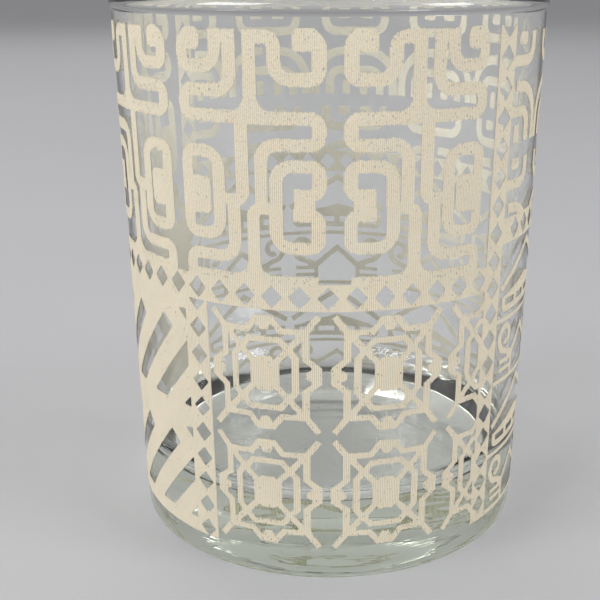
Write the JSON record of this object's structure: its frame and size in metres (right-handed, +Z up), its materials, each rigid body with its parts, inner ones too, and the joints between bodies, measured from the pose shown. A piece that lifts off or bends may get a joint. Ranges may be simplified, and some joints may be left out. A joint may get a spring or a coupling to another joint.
{
  "type": "rocks glass",
  "caption": "Rocks glass with a straight wall on a thick clear base, a rolled rim, and white frosted fields of geometric ornament around the outside.",
  "frame": {"origin": "centre of the ring that the glass stands on", "axes": "+Z up along the axis of the glass, -Y towards the pictured front, +X to the right of that front"},
  "size_m": [0.0828, 0.0828, 0.105],
  "materials": {
    "glass": "clear, fire-polished",
    "frost": "fired-on white frit, matt"
  },
  "bodies": {
    "root": {"tumbler": "glass", "scroll_panel": "frost", "front_band": "frost", "bar_panel": "frost", "inner_post": "frost", "tile_panel": "frost", "right_post": "frost", "hook_panel": "frost", "rear_band": "frost", "volute_panel": "frost", "left_post": "frost"}
  },
  "joints": []
}
